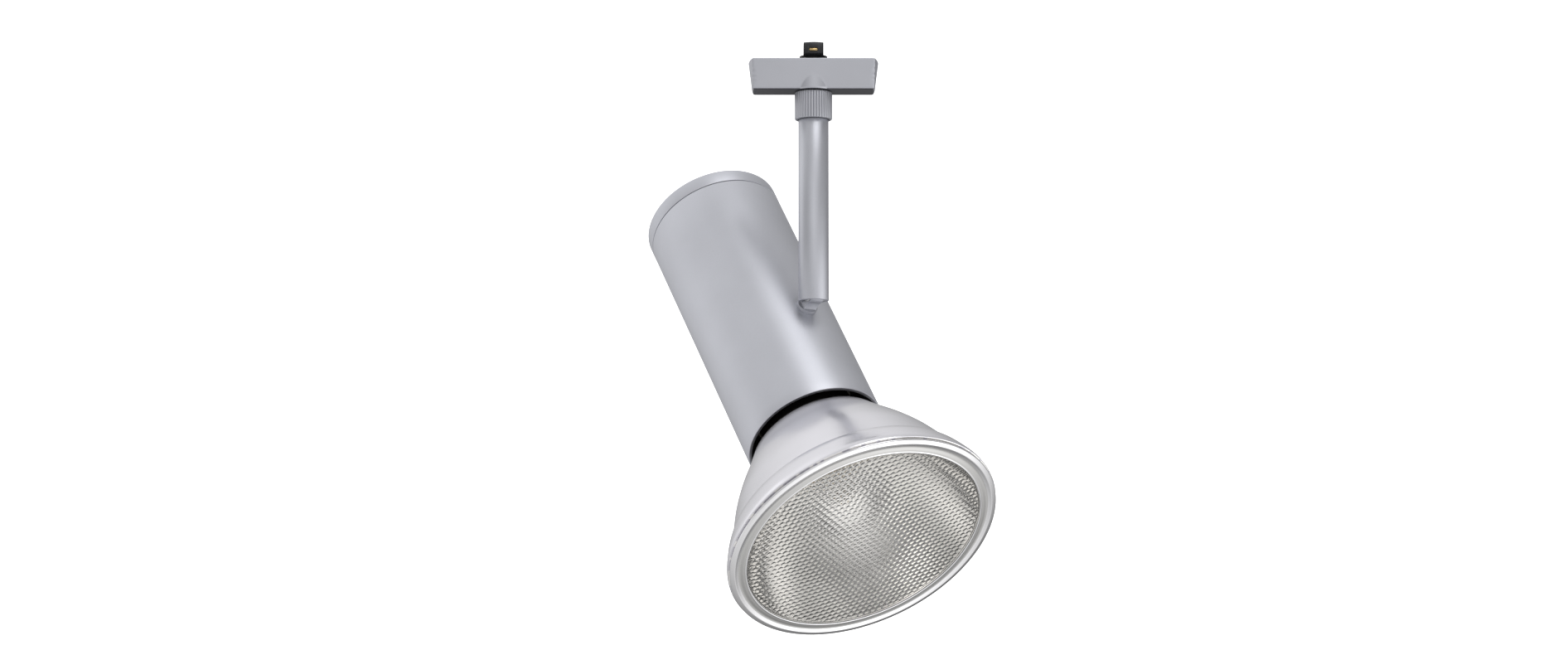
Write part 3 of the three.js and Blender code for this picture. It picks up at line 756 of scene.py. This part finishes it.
def set_stage():
    """A pale floor and a white backdrop all round: seen by the camera, left out of the light."""
    painted = (
        (floor(), pale("floor_paint", 0.8, 0.25)),
        (dome(), pale("backdrop_paint", 0.8, 1.0)),
    )
    for obj, material in painted:
        bpy.context.scene.collection.objects.link(obj)
        obj.data.materials.append(material)
        obj.visible_glossy = False
        obj.visible_diffuse = False
        obj.visible_transmission = False
        obj.visible_shadow = False


# Soft glows of a far studio tent. Each is a direction and a share of the key glow's strength.
KEY_STRENGTH = 1.6
GLOW_TIGHTNESS = 6.0
GLOWS = {
    "key_right_low": ((0.75, -0.2, -0.65), 1.0),
    "fill_left_low": ((-0.75, -0.2, -0.65), 0.45),
    "below": ((0.0, 0.0, -1.0), 0.2),
    "front": ((0.0, -1.0, 0.1), 0.55),
    "front_low": ((0.2, -0.75, -0.65), 0.15),
    "top_left": ((-0.6, 0.0, 0.8), 0.55),
    "top_right": ((0.6, 0.0, 0.8), 0.2),
    "top_back": ((0.0, 0.6, 0.8), 0.4),
    "left_back": ((-0.75, 0.65, 0.1), 0.4),
}
AMBIENT = 0.14


def studio_light():
    """World light: the ambient plus each glow, brightest along its direction and fading away from it."""
    world = bpy.data.worlds.new("studio")
    bpy.context.scene.world = world
    world.use_nodes = True
    tree = world.node_tree
    background = tree.nodes["Background"]
    coords = tree.nodes.new("ShaderNodeTexCoord")
    total = None
    for direction, share in GLOWS.values():
        dot = tree.nodes.new("ShaderNodeVectorMath")
        dot.operation = "DOT_PRODUCT"
        dot.inputs[1].default_value = Vector(direction).normalized()
        tree.links.new(coords.outputs["Generated"], dot.inputs[0])
        exponent = tree.nodes.new("ShaderNodeMath")
        exponent.operation = "MULTIPLY_ADD"
        exponent.inputs[1].default_value = GLOW_TIGHTNESS
        exponent.inputs[2].default_value = -GLOW_TIGHTNESS
        tree.links.new(dot.outputs["Value"], exponent.inputs[0])
        glow = tree.nodes.new("ShaderNodeMath")
        glow.operation = "EXPONENT"
        tree.links.new(exponent.outputs[0], glow.inputs[0])
        add = tree.nodes.new("ShaderNodeMath")
        add.operation = "MULTIPLY_ADD"
        add.inputs[1].default_value = KEY_STRENGTH * share
        add.inputs[2].default_value = AMBIENT
        tree.links.new(glow.outputs[0], add.inputs[0])
        if total is not None:
            tree.links.new(total, add.inputs[2])
        total = add.outputs[0]
    tree.links.new(total, background.inputs["Strength"])
    background.inputs["Color"].default_value = (1, 1, 1, 1)


def softbox(name, place, target, size, power):
    """A rectangular area light aimed at a target."""
    data = bpy.data.lights.new(name, "AREA")
    data.shape = "RECTANGLE"
    data.size, data.size_y = size
    data.energy = power
    obj = bpy.data.objects.new(name, data)
    obj.location = place
    obj.rotation_mode = "QUATERNION"
    obj.rotation_quaternion = (Vector(target) - Vector(place)).to_track_quat("-Z", "Y")
    bpy.context.scene.collection.objects.link(obj)


CAMERA_PLACE = (-0.01034, -1.4128, -0.2921)
LOOK_UP = 0.14                # radians above level
FOCAL_LENGTH = 93.96          # mm, on a sensor 36 mm wide


def set_camera():
    """In front, a little below the spotlight, looking slightly up."""
    data = bpy.data.cameras.new("camera")
    data.sensor_width = 36.0
    data.lens = FOCAL_LENGTH
    data.clip_start, data.clip_end = 0.05, 60
    camera = bpy.data.objects.new("camera", data)
    camera.location = CAMERA_PLACE
    camera.rotation_euler = (math.pi / 2 + LOOK_UP, 0, 0)
    bpy.context.scene.collection.objects.link(camera)
    bpy.context.scene.camera = camera
    bpy.context.scene.view_settings.view_transform = "Standard"
    bpy.context.scene.view_settings.look = "None"


AIM = (0.0, 0.0, -0.12)
set_stage()
studio_light()
softbox("overhead", (0.15, -0.25, 0.45), AIM, (0.35, 0.35), 0.9)
softbox("left", (-0.5, 0.12, 0.0), AIM, (0.25, 0.5), 0.12)
set_camera()
